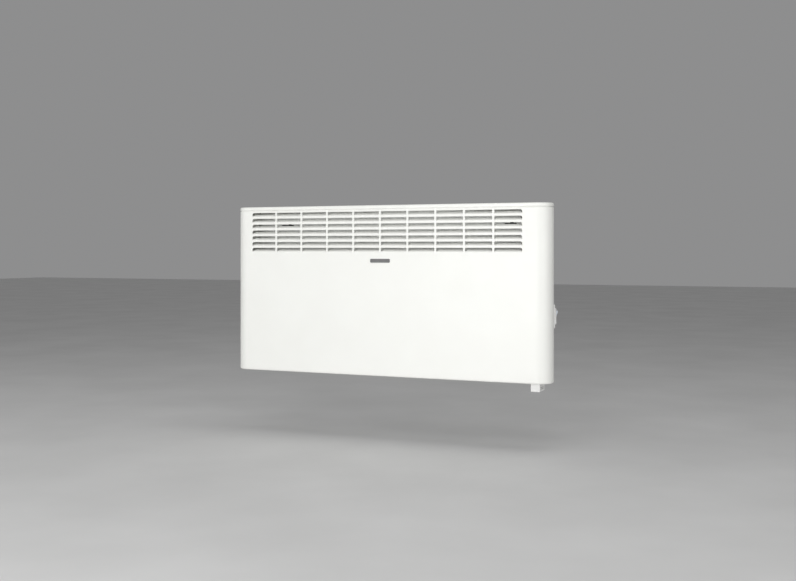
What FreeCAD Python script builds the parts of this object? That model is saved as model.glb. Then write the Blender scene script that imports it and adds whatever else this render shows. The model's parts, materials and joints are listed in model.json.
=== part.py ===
import FreeCAD, Part
import math
import os

# Wall-hung fan convector heater: a pressed casing that hangs on a wall rail.
# +X is to the right as seen from the room, +Y goes into the wall, +Z is up.
# The origin is the centre of the wall rail's back face, on the wall (Y = 0).
# Heights given to up() are measured from the casing's bottom edge. Millimetres.

V = FreeCAD.Vector
X_AXIS = V(1, 0, 0)
Y_AXIS = V(0, 1, 0)
Z_AXIS = V(0, 0, 1)
FIT = 0.1  # gap between pieces that slip together

# Casing
CASING_W = 899.0
CASING_H = 450.0
CASING_D = 100.0
WALL_GAP = 23.0
CORNER_R = 38.0
CASING_SPLIT = 415.5  # X on either side where the casing's round ends start as sub-parts
SIDE_RAKE = math.radians(15.5)  # the sides lean in towards the wall
SHEET = 1.2
FLANGE = 14.0
BOTTOM_R = 4.0

# Wall rail and its hooks
RAIL_L = 750.0
RAIL_H = 28.0
RAIL_D = 21.0
RAIL_SHEET = 3.0
HOOK_SEAT = 408.0  # height of the hooks' bearing face in the hung casing
HOOK_X = 326.0
HOOK_W = 8.6
HOOK_TIP = 6.0
WALL_SCREW_X = 250.0
WALL_SCREW_R = 3.5

FRONT = -(WALL_GAP + CASING_D)
REAR = -WALL_GAP
BASE = RAIL_H / 2 - HOOK_SEAT
TOP = BASE + CASING_H

# Top cap
CAP_H = 9.5
SEAM = 1.5
CAP_R = 4.5
CAP_SHEET = 1.5
TONGUE = 6.5
CAP_BOTTOM = TOP - CAP_H
CASING_TOP = CAP_BOTTOM - SEAM

# Louvres: the scoop's blade curls in from the lower edge of each slot
COLUMNS = 10
ROWS = 7
COLUMN_PITCH = 78.0
ROW_PITCH = 16.0
SLOT_W = 72.5
SLOT_H = 12.0
GRILLE_X = -7.0
GRILLE_DROP = 16.3  # top of the casing to the first slot
BLADE_R = 4.0
BLADE_TURN = math.radians(60)
BLADE_RUN = 8.0
BLADE_TRIM = 0.56  # how far a blade's end is cut back for each unit of its depth
SLOT_CORNER_R = 5.0

# Rear panel, a shallow tray with two hanging slots
PANEL_FRONT = FRONT + 90.0
PANEL_SHEET = 1.0
PANEL_HALF_W = 414.5
LIP_HALF_W = 430.5
PANEL_LOW = 16.0
PANEL_TOP = 433.5
NOTCH_W = 9.4
NOTCH_GAP = 0.1
SLOT_REACHES = (26.3, 19.5)  # from a notch to its slot's left end: left slot, right slot
SLOT_RIGHT = 13.0
SLOT_TOP = 401.8
SLOT_LOW = 389.0
REAR_SCREW_X = 426.0
REAR_SCREW_HEIGHTS = (60.0, 180.0, 300.0, 400.0)
CAP_SCREW_HEIGHT = 436.3
SCREW_R = 1.7

# Base grille
GRILLE_LEFT = -360.0
GRILLE_RIGHT = 320.0
INTAKE_PITCH = 12.0
INTAKE_W = 6.0

# Badge
BADGE_X = GRILLE_X + 0.5
BADGE_W = 56.0
BADGE_H = 10.0
BADGE_R = 2.6
BADGE_T = 1.6
BADGE_DROP = 146.4

# Side switch, in its own frame: X out of the casing, Y along the side, Z up
SWITCH_Y = -53.0
SWITCH_HEIGHT = 165.2
BEZEL_W = 34.0
BEZEL_H = 59.5
BEZEL_T = 3.0
RIM_W = 27.0
RIM_H = 40.0
RIM_OUT = 6.0
POCKET_W = 20.4
POCKET_H = 32.0
BODY_WALL = 1.8
BODY_DEPTH = 20.0
TAB_L = 8.0
PIVOT_X = 2.0
ROCKER_R = 15.6
ROCKER_W = 19.6
ROCKER_TILT = 9.0
WING_ANGLE = math.radians(23.5)
PIN_R = 1.5
RUNNING = 0.06

# Room sensor housing under the right-hand end
SENSOR_X = (389.0, 413.0)
SENSOR_Y = (-78.0, -34.0)
SENSOR_DROP = 25.0
SENSOR_UP = 12.0
SENSOR_WALL = 1.5
BULB_X = 401.0
BULB_Y = -56.0
BULB_R = 3.0

# Thermostat and its recessed dial
DIAL_X = 382.0
DIAL_Y = -70.0
WELL_R = 24.0
WELL_DEPTH = 15.0
DIAL_R = 20.5
SPINDLE_R = 3.0
THERMOSTAT_H = 22.0
COLLAR_H = 3.0
CASE_LOW = CASING_H - WELL_DEPTH - SHEET - COLLAR_H - THERMOSTAT_H

# Heating element
ELEMENT_Y = -76.0
TUBE_R = 4.0
TUBE_HEIGHTS = (140.0, 166.0)
TUBE_LEFT = -310.0
TUBE_RIGHT = 270.0
FIN_COUNT = 35
FIN_PITCH = 14.0
FIN_W = 50.0
FIN_H = 62.0
BRACKET_LEFT = -300.0
BRACKET_RIGHT = 240.0
BRACKET_T = 1.5
SHIELD_BACK = -41.0
SHIELD_FRONT = -42.0

# Fan
FAN_Y = -80.0
FAN_HEIGHT = 58.0
WHEEL_R = 25.0
WHEEL_LEFT = -190.0
WHEEL_RIGHT = 170.0
BLADES = 24
SCROLL_R = 29.0
SHAFT_R = 2.5
STATOR = (192.0, 210.0)
ROTOR_R = 13.6
MOTOR_SCREW_REACH = 22.5

# Wiring
LEAD_R = 1.3
CAPILLARY_R = 0.8
GLAND_X = 352.0
GLAND_Y = -60.0
GLAND_BORE_R = 4.5
BLOCK_X = (296.0, 344.0)
EARTH_X = 372.0
EARTH_HEIGHT = 110.0
NUT_R = 3.9


def up(height):
    """Z of a height above the casing's bottom edge."""
    return BASE + height


def box(x, y, z):
    return Part.makeBox(x[1] - x[0], y[1] - y[0], z[1] - z[0], V(x[0], y[0], z[0]))


def rod(start, axis, radius, length):
    return Part.makeCylinder(radius, length, V(*start), axis)


def tube(start, axis, radius, bore, length):
    return rod(start, axis, radius, length).cut(rod(start, axis, bore, length))


def rounded_box(x, y, z, radius, axis):
    """Box with the four edges along one axis rounded."""
    block = box(x, y, z)
    edges = [e for e in block.Edges if abs(e.tangentAt(e.FirstParameter).dot(axis)) > 0.999]
    return block.makeFillet(radius, edges)


def line(start, end):
    return Part.LineSegment(start, end).toShape()


def arc(start, middle, end):
    return Part.Arc(start, middle, end).toShape()


def prism(edges, direction):
    return Part.Face(Part.Wire(edges)).extrude(direction)


def polygon_prism(points, direction):
    return Part.Face(Part.makePolygon(points + points[:1])).extrude(direction)


def copies(shape, places):
    """One shape repeated at each displacement."""
    made = []
    for place in places:
        copy = shape.copy()
        copy.translate(place)
        made.append(copy)
    return made


def plan_corners(inset, rear):
    """Points down the right side of the plan: corner start, middle and end, then the rear corner."""
    radius = CORNER_R - inset
    centre = V(CASING_W / 2 - CORNER_R, FRONT + CORNER_R, 0)
    angles = (-math.pi / 2, (SIDE_RAKE - math.pi / 2) / 2, SIDE_RAKE)
    points = [centre + V(math.cos(a), math.sin(a), 0) * radius for a in angles]
    run = (rear - points[2].y) / math.cos(SIDE_RAKE)
    points.append(points[2] + V(-math.sin(SIDE_RAKE), math.cos(SIDE_RAKE), 0) * run)
    return points


def plan_block(inset, rear, low, high):
    """Upright block with the casing's plan: flat front, round corners, sides raked inwards."""
    right = [V(p.x, p.y, low) for p in plan_corners(inset, rear)]
    left = [V(-p.x, p.y, low) for p in right]
    edges = [
        line(left[0], right[0]),
        arc(right[0], right[1], right[2]),
        line(right[2], right[3]),
        line(right[3], left[3]),
        line(left[3], left[2]),
        arc(left[2], left[1], left[0]),
    ]
    return prism(edges, Z_AXIS * (high - low))


def round_rim(block, height, rear, radius):
    """Round a plan block's edges at one height, all but the straight rear one."""
    rim = []
    for edge in block.Edges:
        span = edge.BoundBox
        level = abs(span.ZMin - height) < 0.01 and abs(span.ZMax - height) < 0.01
        if level and span.YMin < rear - 0.01:
            rim.append(edge)
    return block.makeFillet(radius, rim)


def side_point(depth):
    """Point on the right side's outer face at a given Y."""
    start = plan_corners(0, REAR)[2]
    return V(start.x - (depth - start.y) * math.tan(SIDE_RAKE), depth, 0)


def on_side(shape):
    """Turn and move a shape from the switch's own frame to the raked right side."""
    shape.rotate(V(0, 0, 0), Z_AXIS, math.degrees(SIDE_RAKE))
    shape.translate(side_point(SWITCH_Y) + Z_AXIS * up(SWITCH_HEIGHT))
    return shape


def slot_places():
    """Lower centre of every louvre slot, with its column."""
    for row in range(ROWS):
        low = TOP - GRILLE_DROP - SLOT_H - row * ROW_PITCH
        for column in range(COLUMNS):
            middle = GRILLE_X + (column - (COLUMNS - 1) / 2) * COLUMN_PITCH
            yield column, V(middle, 0, low)


def slot_cutter(column):
    """Cutter for one slot. The outer top corner of the end columns is round."""
    cutter = box((-SLOT_W / 2, SLOT_W / 2), (FRONT - 1, FRONT + SHEET + 1), (0, SLOT_H))
    outer_x = {0: -SLOT_W / 2, COLUMNS - 1: SLOT_W / 2}.get(column)
    if outer_x is None:
        return cutter
    corner = [
        e
        for e in cutter.Edges
        if abs(e.BoundBox.Center.x - outer_x) < 0.01
        and abs(e.BoundBox.Center.z - SLOT_H) < 0.01
        and e.BoundBox.YLength > 1
    ]
    return cutter.makeFillet(SLOT_CORNER_R, corner)


def louvre():
    """Lanced blade standing at Z = 0: curled inwards, its ends cut back towards the lip."""

    def bend(radius, turn):
        return V(0, FRONT + BLADE_R - radius * math.cos(turn), radius * math.sin(turn))

    inner_r = BLADE_R - SHEET
    forward = V(0, math.sin(BLADE_TURN), math.cos(BLADE_TURN)) * BLADE_RUN
    outer_end = bend(BLADE_R, BLADE_TURN)
    inner_end = bend(inner_r, BLADE_TURN)
    outer_tip = outer_end + forward
    inner_tip = inner_end + forward
    profile = [
        arc(bend(BLADE_R, 0), bend(BLADE_R, BLADE_TURN / 2), outer_end),
        line(outer_end, outer_tip),
        line(outer_tip, inner_tip),
        line(inner_tip, inner_end),
        arc(inner_end, bend(inner_r, BLADE_TURN / 2), bend(inner_r, 0)),
        line(bend(inner_r, 0), bend(BLADE_R, 0)),
    ]
    blade = prism(profile, X_AXIS * SLOT_W)
    reach = BLADE_R + BLADE_RUN
    trim = BLADE_TRIM * reach
    plan = [
        V(0, FRONT, -1),
        V(SLOT_W, FRONT, -1),
        V(SLOT_W - trim, FRONT + reach, -1),
        V(trim, FRONT + reach, -1),
    ]
    blade = blade.common(polygon_prism(plan, Z_AXIS * (SLOT_H + 1)))
    blade.translate(X_AXIS * (-SLOT_W / 2))
    return blade


def casing_sheet():
    """The whole pressed sheet: flat louvred front, round ends, raked sides, turned-in flanges."""
    outer = round_rim(plan_block(0, REAR, up(0), CASING_TOP), up(0), REAR, BOTTOM_R)
    floor = up(SHEET)
    hollow = plan_block(SHEET, REAR - SHEET, floor, CASING_TOP + 1)
    hollow = round_rim(hollow, floor, REAR - SHEET, BOTTOM_R - SHEET)
    rear_half = plan_corners(0, REAR)[3].x - FLANGE
    rear_y = (REAR - 2 * SHEET, REAR + 1)
    sheet_z = (up(-1), up(2 * SHEET))
    cutters = [
        hollow,
        box((-rear_half, rear_half), rear_y, (up(FLANGE), CASING_TOP + 1)),
        box((GRILLE_LEFT, GRILLE_RIGHT), (FRONT + FLANGE, REAR - FLANGE), sheet_z),
        box(
            (SENSOR_X[0] - FIT, SENSOR_X[1] + FIT),
            (SENSOR_Y[0] - FIT, SENSOR_Y[1] + FIT),
            sheet_z,
        ),
        rod((GLAND_X, GLAND_Y, up(-1)), Z_AXIS, 10 + FIT, 5),
        switch_aperture(),
    ]
    cutters += rear_screw_rods(SCREW_R + FIT)
    cutters += cap_screw_rods(SCREW_R + FIT)
    sheet = outer.cut(cutters)
    sheet = sheet.cut([copies(slot_cutter(column), [place])[0] for column, place in slot_places()])
    blades = copies(louvre(), [place for _, place in slot_places()])
    return sheet.fuse(blades).removeSplitter()


def casing_part(sheet, x, y=(FRONT - 1, REAR + 1)):
    """Part of the casing between two values of X, and of Y."""
    return sheet.common(box(x, y, (up(-1), CASING_TOP + 1)))


def switch_aperture():
    half_w = POCKET_W / 2 + BODY_WALL + FIT
    half_h = POCKET_H / 2 + BODY_WALL + FIT
    return on_side(box((-6, 6), (-half_w, half_w), (-half_h, half_h)))


def rear_screw_rods(radius):
    """Shanks of the screws that hold the rear panel to the casing's side flanges."""
    places = [
        V(side * REAR_SCREW_X, REAR, up(height)) for side in (-1, 1) for height in REAR_SCREW_HEIGHTS
    ]
    shank = rod((0, 0, 0), V(0, -1, 0), radius, 7)
    return copies(shank, places)


def cap_screw_rods(radius):
    places = [V(side * REAR_SCREW_X, REAR, up(CAP_SCREW_HEIGHT)) for side in (-1, 1)]
    return copies(rod((0, 0, 0), V(0, -1, 0), radius, 7), places)


def pan_heads(rods):
    """Screws made from shanks: each gets a domed head with a cross recess, behind the flange."""
    screws = []
    for shank in rods:
        head = rod((0, 0, 0), Y_AXIS, 3.4, 2.0)
        rim = [e for e in head.Edges if abs(e.BoundBox.Center.y - 2.0) < 0.01]
        head = head.makeFillet(1.2, rim)
        recess = [
            box((-1.9, 1.9), (0.8, 2.5), (-0.35, 0.35)),
            box((-0.35, 0.35), (0.8, 2.5), (-1.9, 1.9)),
        ]
        head = head.cut(recess)
        centre = shank.BoundBox.Center
        head.translate(V(centre.x, REAR, centre.z))
        screws.append(shank.fuse(head))
    return screws


def top_cap():
    """Closed cap with a skirt, a tongue that slips inside the casing, and the dial's well."""
    outer = round_rim(plan_block(0, REAR, CAP_BOTTOM, TOP), TOP, REAR, CAP_R)
    roof = TOP - CAP_SHEET
    hollow = plan_block(CAP_SHEET, REAR - CAP_SHEET, CAP_BOTTOM - 1, roof)
    hollow = round_rim(hollow, roof, REAR - CAP_SHEET, CAP_R - CAP_SHEET)
    slip = SHEET + FIT
    tongue = plan_block(slip, REAR - slip, CAP_BOTTOM - TONGUE, roof)
    inside = slip + SHEET
    tongue = tongue.cut(plan_block(inside, REAR - inside, CAP_BOTTOM - TONGUE - 1, roof + 1))
    well = rod((DIAL_X, DIAL_Y, TOP - WELL_DEPTH - SHEET), Z_AXIS, WELL_R + SHEET, WELL_DEPTH)
    cap = outer.cut(hollow).fuse([tongue, well])
    cutters = [
        rod((DIAL_X, DIAL_Y, TOP - WELL_DEPTH), Z_AXIS, WELL_R, WELL_DEPTH + 1),
        rod((DIAL_X, DIAL_Y, TOP - WELL_DEPTH - 3), Z_AXIS, SPINDLE_R + 0.5, 6),
    ]
    return cap.cut(cutters + cap_screw_rods(SCREW_R + FIT)).removeSplitter()


def badge():
    """Blank oblong badge with a raised border."""
    middle = TOP - BADGE_DROP
    x = (BADGE_X - BADGE_W / 2, BADGE_X + BADGE_W / 2)
    z = (middle - BADGE_H / 2, middle + BADGE_H / 2)
    plate = rounded_box(x, (FRONT - BADGE_T, FRONT), z, BADGE_R, Y_AXIS)
    border = 1.3
    inner_x = (x[0] + border, x[1] - border)
    inner_z = (z[0] + border, z[1] - border)
    recess = rounded_box(inner_x, (FRONT - BADGE_T - 1, FRONT - 1.0), inner_z, BADGE_R - border, Y_AXIS)
    return plate.cut(recess)


def hanging_slot(middle, reach):
    """Cutter for a hanging slot: wide entry below, narrow notch above it."""
    y = (PANEL_FRONT - 1, PANEL_FRONT + 12)
    x = (middle - reach, middle + SLOT_RIGHT)
    entry = rounded_box(x, y, (up(SLOT_LOW), up(SLOT_TOP)), 2.0, Y_AXIS)
    notch_z = (up(SLOT_TOP - 3), up(HOOK_SEAT + NOTCH_GAP))
    return entry.fuse(box((middle - NOTCH_W / 2, middle + NOTCH_W / 2), y, notch_z))


def rear_panel():
    """Tray that closes the back: flat panel, turned-back rim and side lips for the screws."""
    lip_back = REAR - SHEET - FIT
    lip_front = lip_back - PANEL_SHEET
    wide = PANEL_HALF_W
    thin = PANEL_SHEET
    tray = box((-wide, wide), (PANEL_FRONT, lip_back), (up(PANEL_LOW), up(PANEL_TOP)))
    hollow_z = (up(PANEL_LOW + thin), up(PANEL_TOP - thin))
    hollow = box((thin - wide, wide - thin), (PANEL_FRONT + thin, lip_back + 1), hollow_z)
    lip = box((-LIP_HALF_W, LIP_HALF_W), (lip_front, lip_back), (up(3), up(PANEL_TOP)))
    lip_hole_z = (up(PANEL_LOW + thin), up(PANEL_TOP + 1))
    lip = lip.cut(box((thin - wide, wide - thin), (lip_front - 1, lip_back + 1), lip_hole_z))
    cutters = [hanging_slot(side * HOOK_X, reach) for side, reach in zip((-1, 1), SLOT_REACHES)]
    cutters += rear_screw_rods(SCREW_R + FIT)
    return tray.cut(hollow).fuse(lip).cut(cutters).removeSplitter()


def wall_rail():
    """Channel screwed to the wall, with two hooks that turn up behind the rear panel."""
    half = RAIL_L / 2
    low, high = -RAIL_H / 2, RAIL_H / 2
    web = box((-half, half), (-RAIL_SHEET, 0), (low, high))
    shelves = [
        box((-half, half), (-RAIL_D, 0), (high - RAIL_SHEET, high)),
        box((-half, half), (-RAIL_D, 0), (low, low + RAIL_SHEET)),
    ]
    tip_front = PANEL_FRONT - 5
    hooks = []
    for side in (-1, 1):
        x = (side * HOOK_X - HOOK_W / 2, side * HOOK_X + HOOK_W / 2)
        hooks.append(box(x, (tip_front, -RAIL_D + 1), (high - RAIL_SHEET, high)))
        hooks.append(box(x, (tip_front, tip_front + 2.5), (high - RAIL_SHEET, high + HOOK_TIP)))
    rail = web.fuse(shelves + hooks)
    holes = [
        rod((side * WALL_SCREW_X, -RAIL_SHEET - 1, 0), Y_AXIS, WALL_SCREW_R, RAIL_SHEET + 2)
        for side in (-1, 1)
    ]
    return rail.cut(holes).removeSplitter()


def wall_spacers():
    """Two stepped feet that keep the lower edge off the wall."""
    back = PANEL_FRONT + PANEL_SHEET
    feet = []
    for side in (-1, 1):
        place = (side * HOOK_X, back, up(40))
        foot = rod(place, Y_AXIS, 8, -back - 0.3)
        collar = rod(place, Y_AXIS, 12, 3)
        feet.append(foot.fuse(collar))
    return feet


def base_grille():
    """Slotted intake plate that rests on the casing's bottom flange."""
    x = (GRILLE_LEFT - 8, GRILLE_RIGHT + 8)
    y = (FRONT + 7, REAR - 7)
    plate = box(x, y, (up(SHEET), up(2 * SHEET)))
    middle = (y[0] + y[1]) / 2
    count = int((GRILLE_RIGHT - GRILLE_LEFT) / INTAKE_PITCH)
    rows = ((FRONT + FLANGE + 2, middle - 3), (middle + 3, REAR - FLANGE - 2))
    cutters = []
    for index in range(count):
        left = GRILLE_LEFT + (index + 0.5) * INTAKE_PITCH - INTAKE_W / 2
        for row in rows:
            cutters.append(box((left, left + INTAKE_W), row, (up(0), up(4))))
    return plate.cut(cutters)


def switch_bezel():
    plate = rounded_box((0, BEZEL_T), (-BEZEL_W / 2, BEZEL_W / 2), (-BEZEL_H / 2, BEZEL_H / 2), 5, X_AXIS)
    face = [e for e in plate.Edges if e.BoundBox.XMin > BEZEL_T - 0.01]
    plate = plate.makeFillet(1.2, face)
    return on_side(plate).cut(switch_aperture())


def switch_body():
    """Switch housing: rim in front, pocket for the rocker, blind pin holes in the side walls."""
    half_w = POCKET_W / 2 + BODY_WALL
    half_h = POCKET_H / 2 + BODY_WALL
    rim = rounded_box((BEZEL_T, RIM_OUT), (-RIM_W / 2, RIM_W / 2), (-RIM_H / 2, RIM_H / 2), 2.5, X_AXIS)
    front = [e for e in rim.Edges if e.BoundBox.XMin > RIM_OUT - 0.01]
    rim = rim.makeFillet(1.0, front)
    housing = box((-BODY_DEPTH, BEZEL_T), (-half_w, half_w), (-half_h, half_h))
    pocket = box((-9, RIM_OUT + 1), (-POCKET_W / 2, POCKET_W / 2), (-POCKET_H / 2, POCKET_H / 2))
    pin_length = POCKET_W + 2.6
    pins = rod((PIVOT_X, -pin_length / 2, 0), Y_AXIS, PIN_R + RUNNING, pin_length)
    return on_side(rim.fuse(housing).cut([pocket, pins]).removeSplitter())


def rocker():
    """Rocker with two dished wings, tilted so that its upper end stands out."""

    def polar(angle, sign):
        return V(PIVOT_X + ROCKER_R * math.sin(angle), 0, sign * ROCKER_R * math.cos(angle))

    back = math.radians(-20)
    middle = (WING_ANGLE + back) / 2
    valley = V(PIVOT_X + 4.2, 0, 0)
    outline = [
        arc(polar(back, 1), polar(middle, 1), polar(WING_ANGLE, 1)),
        line(polar(WING_ANGLE, 1), valley),
        line(valley, polar(WING_ANGLE, -1)),
        arc(polar(WING_ANGLE, -1), polar(middle, -1), polar(back, -1)),
        line(polar(back, -1), polar(back, 1)),
    ]
    key = prism(outline, Y_AXIS * ROCKER_W)
    key.translate(V(0, -ROCKER_W / 2, 0))
    pin_length = POCKET_W + 2.0
    key = key.fuse(rod((PIVOT_X, -pin_length / 2, 0), Y_AXIS, PIN_R, pin_length))
    key.rotate(V(PIVOT_X, 0, 0), Y_AXIS, ROCKER_TILT)
    return on_side(key)


def switch_tabs():
    """Three flat terminals behind the switch."""
    x = (-BODY_DEPTH - TAB_L, -BODY_DEPTH)
    tabs = [box(x, (-3.1, 3.1), (z - 0.4, z + 0.4)) for z in (-10, 0, 10)]
    return [on_side(tab) for tab in tabs]


def sensor_housing():
    """Open-topped housing below the casing, slotted low on its sides, with a flange on the sheet."""
    z = (up(-SENSOR_DROP), up(SENSOR_UP))
    shell = rounded_box(SENSOR_X, SENSOR_Y, z, 1.4, Z_AXIS)
    low_rim = [e for e in shell.Edges if e.BoundBox.ZMax < z[0] + 0.01]
    shell = shell.makeFillet(1.3, low_rim)
    flange_z = (up(SHEET), up(2 * SHEET))
    flange = box((SENSOR_X[0] - 4, SENSOR_X[1] + 4), (SENSOR_Y[0] - 4, SENSOR_Y[1]), flange_z)
    inside_x = (SENSOR_X[0] + SENSOR_WALL, SENSOR_X[1] - SENSOR_WALL)
    inside_y = (SENSOR_Y[0] + SENSOR_WALL, SENSOR_Y[1] - SENSOR_WALL)
    hollow = box(inside_x, inside_y, (z[0] + SENSOR_WALL, z[1] + 1))
    slots_x = (SENSOR_X[0] - 1, SENSOR_X[1] + 1)
    slots_y = (SENSOR_Y[0] + 6, SENSOR_Y[1] - 6)
    slots = [box(slots_x, slots_y, (up(low), up(low + 1.4))) for low in (-19.4, -15.4)]
    return shell.fuse(flange).cut([hollow] + slots).removeSplitter()


def sensor_clip():
    """Saddle in the housing that grips the bulb."""
    block = box((BULB_X - 8, BULB_X + 8), (BULB_Y - 5, BULB_Y + 5), (up(2), up(8)))
    return block.cut(rod((BULB_X, BULB_Y, up(0)), Z_AXIS, BULB_R, 10))


def sensor_bulb():
    return rod((BULB_X, BULB_Y, up(-20)), Z_AXIS, BULB_R, 46)


def thermostat_body():
    """Thermostat below the dial's well: box, collar and a running bore for the spindle."""
    floor = TOP - WELL_DEPTH - SHEET
    z = (up(CASE_LOW), floor - COLLAR_H)
    case = rounded_box((DIAL_X - 17, DIAL_X + 17), (DIAL_Y - 17, DIAL_Y + 17), z, 2, Z_AXIS)
    collar = rod((DIAL_X, DIAL_Y, floor - 4), Z_AXIS, 7, 4)
    bore = rod((DIAL_X, DIAL_Y, floor - 12), Z_AXIS, SPINDLE_R + RUNNING, 13)
    return case.fuse(collar).cut(bore).removeSplitter()


def thermostat_spindle():
    floor = TOP - WELL_DEPTH - SHEET
    return rod((DIAL_X, DIAL_Y, floor - 10), Z_AXIS, SPINDLE_R, 10 + SHEET + 9)


def thermostat_dial():
    """Knurled dial that sits just below the cap's top face, with a pointer groove."""
    low = TOP - WELL_DEPTH + 1
    high = TOP - 1
    dial = rod((DIAL_X, DIAL_Y, low), Z_AXIS, DIAL_R, high - low)
    rim = [e for e in dial.Edges if e.BoundBox.ZMin > high - 0.01]
    dial = dial.makeFillet(1.5, rim)
    cutters = []
    for index in range(24):
        turn = math.radians(15 * index)
        x = DIAL_X + (DIAL_R + 0.7) * math.cos(turn)
        y = DIAL_Y + (DIAL_R + 0.7) * math.sin(turn)
        cutters.append(rod((x, y, low - 1), Z_AXIS, 1.6, high - low + 2))
    pointer_y = (DIAL_Y - DIAL_R - 1, DIAL_Y - 9)
    cutters.append(box((DIAL_X - 0.8, DIAL_X + 0.8), pointer_y, (high - 1, high + 1)))
    spindle_top = TOP - WELL_DEPTH + 9
    cutters.append(rod((DIAL_X, DIAL_Y, low - 1), Z_AXIS, SPINDLE_R, spindle_top - low + 1))
    return dial.cut(cutters)


def element_tube():
    """Sheathed heating tube: two straight runs joined by a half-turn at the left."""
    radius = (TUBE_HEIGHTS[1] - TUBE_HEIGHTS[0]) / 2
    runs = [
        rod((TUBE_LEFT, ELEMENT_Y, up(height)), X_AXIS, TUBE_R, TUBE_RIGHT - TUBE_LEFT)
        for height in TUBE_HEIGHTS
    ]
    centre = V(TUBE_LEFT, ELEMENT_Y, up(sum(TUBE_HEIGHTS) / 2))
    bend = Part.makeTorus(radius, TUBE_R, centre, Y_AXIS, -180, 180, 360)
    beyond = TUBE_LEFT - radius - TUBE_R - 1
    half = box(
        (beyond, TUBE_LEFT),
        (ELEMENT_Y - 6, ELEMENT_Y + 6),
        (centre.z - radius - 6, centre.z + radius + 6),
    )
    return runs[0].fuse([runs[1], bend.common(half)]).removeSplitter()


def element_fins():
    """Plates pressed onto the tube's two runs."""
    middle = up(sum(TUBE_HEIGHTS) / 2)
    y = (ELEMENT_Y - FIN_W / 2, ELEMENT_Y + FIN_W / 2)
    fin = box((0, 0.8), y, (middle - FIN_H / 2, middle + FIN_H / 2))
    holes = [rod((-1, ELEMENT_Y, up(height)), X_AXIS, TUBE_R + 0.03, 3) for height in TUBE_HEIGHTS]
    fin = fin.cut(holes)
    centre = (BRACKET_LEFT + BRACKET_RIGHT) / 2
    first = centre - FIN_PITCH * (FIN_COUNT - 1) / 2
    return copies(fin, [X_AXIS * (first + index * FIN_PITCH) for index in range(FIN_COUNT)])


def element_bracket(x):
    """Upright plate with two bush holes and a foot on the rear panel."""
    z = (up(112), up(194))
    plate = box((x, x + BRACKET_T), (ELEMENT_Y - 22, PANEL_FRONT), z)
    foot = box((x, x + 14), (PANEL_FRONT - BRACKET_T, PANEL_FRONT), z)
    holes = [rod((x - 1, ELEMENT_Y, up(height)), X_AXIS, 6, 4) for height in TUBE_HEIGHTS]
    return plate.fuse(foot).cut(holes).removeSplitter()


def element_bushes():
    """Ceramic bushes that carry the tube in its brackets."""
    bushes = []
    for x in (BRACKET_LEFT, BRACKET_RIGHT):
        for height in TUBE_HEIGHTS:
            sleeve = tube((x - 3, ELEMENT_Y, up(height)), X_AXIS, 6, TUBE_R, BRACKET_T + 6)
            collar = tube((x - 3, ELEMENT_Y, up(height)), X_AXIS, 8, TUBE_R, 3)
            bushes.append(sleeve.fuse(collar).removeSplitter())
    return bushes


def element_pins():
    """Cold pins and tabs at the tube's right-hand ends."""
    pins = []
    for height in TUBE_HEIGHTS:
        pin = rod((TUBE_RIGHT, ELEMENT_Y, up(height)), X_AXIS, 1.5, 8)
        tab = box(
            (TUBE_RIGHT + 6, TUBE_RIGHT + 16),
            (ELEMENT_Y - 3.1, ELEMENT_Y + 3.1),
            (up(height) - 0.4, up(height) + 0.4),
        )
        pins.append(pin.fuse(tab))
    return pins


def heat_shield():
    """Plate between the element and the rear panel, its upper edge turned forwards."""
    x = (BRACKET_LEFT + 18, BRACKET_RIGHT - 4)
    length = X_AXIS * (x[1] - x[0])
    back, front = SHIELD_BACK, SHIELD_FRONT
    outline = [(front, 112), (back, 112), (back, 296), (-55, 310), (-55.7, 309.3), (front, 295.6)]
    return polygon_prism([V(x[0], y, up(height)) for y, height in outline], length)


def shield_spacers():
    """Ceramic distance pieces between the shield and the rear panel."""
    places = [(x, height) for x in (-250.0, 200.0) for height in (125.0, 280.0)]
    return [rod((x, SHIELD_BACK, up(height)), Y_AXIS, 5, PANEL_FRONT - SHIELD_BACK) for x, height in places]


def thermal_cutout():
    """Safety cut-out disc on the shield, with two flat tabs."""
    disc = rod((120, SHIELD_FRONT, up(240)), V(0, -1, 0), 9, 7)
    flange = rounded_box((105, 135), (SHIELD_FRONT - 1, SHIELD_FRONT), (up(234), up(246)), 3, Y_AXIS)
    tabs = [box((x - 3.1, x + 3.1), (-57, -49), (up(240) - 0.4, up(240) + 0.4)) for x in (115.5, 124.5)]
    return disc.fuse([flange] + tabs).removeSplitter()


def fan_scroll():
    """Curved wall behind the wheel that turns the air upwards."""
    x = (WHEEL_LEFT - 6, WHEEL_RIGHT + 6)
    low = math.radians(-80)
    centre = V(x[0], FAN_Y, up(FAN_HEIGHT))

    def at(radius, angle):
        return centre + V(0, math.cos(angle), math.sin(angle)) * radius

    outer = SCROLL_R + 1
    rise = V(0, 0, 46)
    edges = [
        arc(at(SCROLL_R, low), at(SCROLL_R, low / 2), at(SCROLL_R, 0)),
        line(at(SCROLL_R, 0), at(SCROLL_R, 0) + rise),
        line(at(SCROLL_R, 0) + rise, at(outer, 0) + rise),
        line(at(outer, 0) + rise, at(outer, 0)),
        arc(at(outer, 0), at(outer, low / 2), at(outer, low)),
        line(at(outer, low), at(SCROLL_R, low)),
    ]
    return prism(edges, X_AXIS * (x[1] - x[0]))


def fan_tongue():
    """Front wall of the outlet with a rounded lip close to the wheel."""
    x = (WHEEL_LEFT - 6, WHEEL_RIGHT + 6)
    wall = box(x, (FAN_Y - 32, FAN_Y - 31), (up(FAN_HEIGHT + 4), up(FAN_HEIGHT + 46)))
    lip = rod((x[0], FAN_Y - 30, up(FAN_HEIGHT + 4)), X_AXIS, 2, x[1] - x[0])
    return wall.fuse(lip).removeSplitter()


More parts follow.
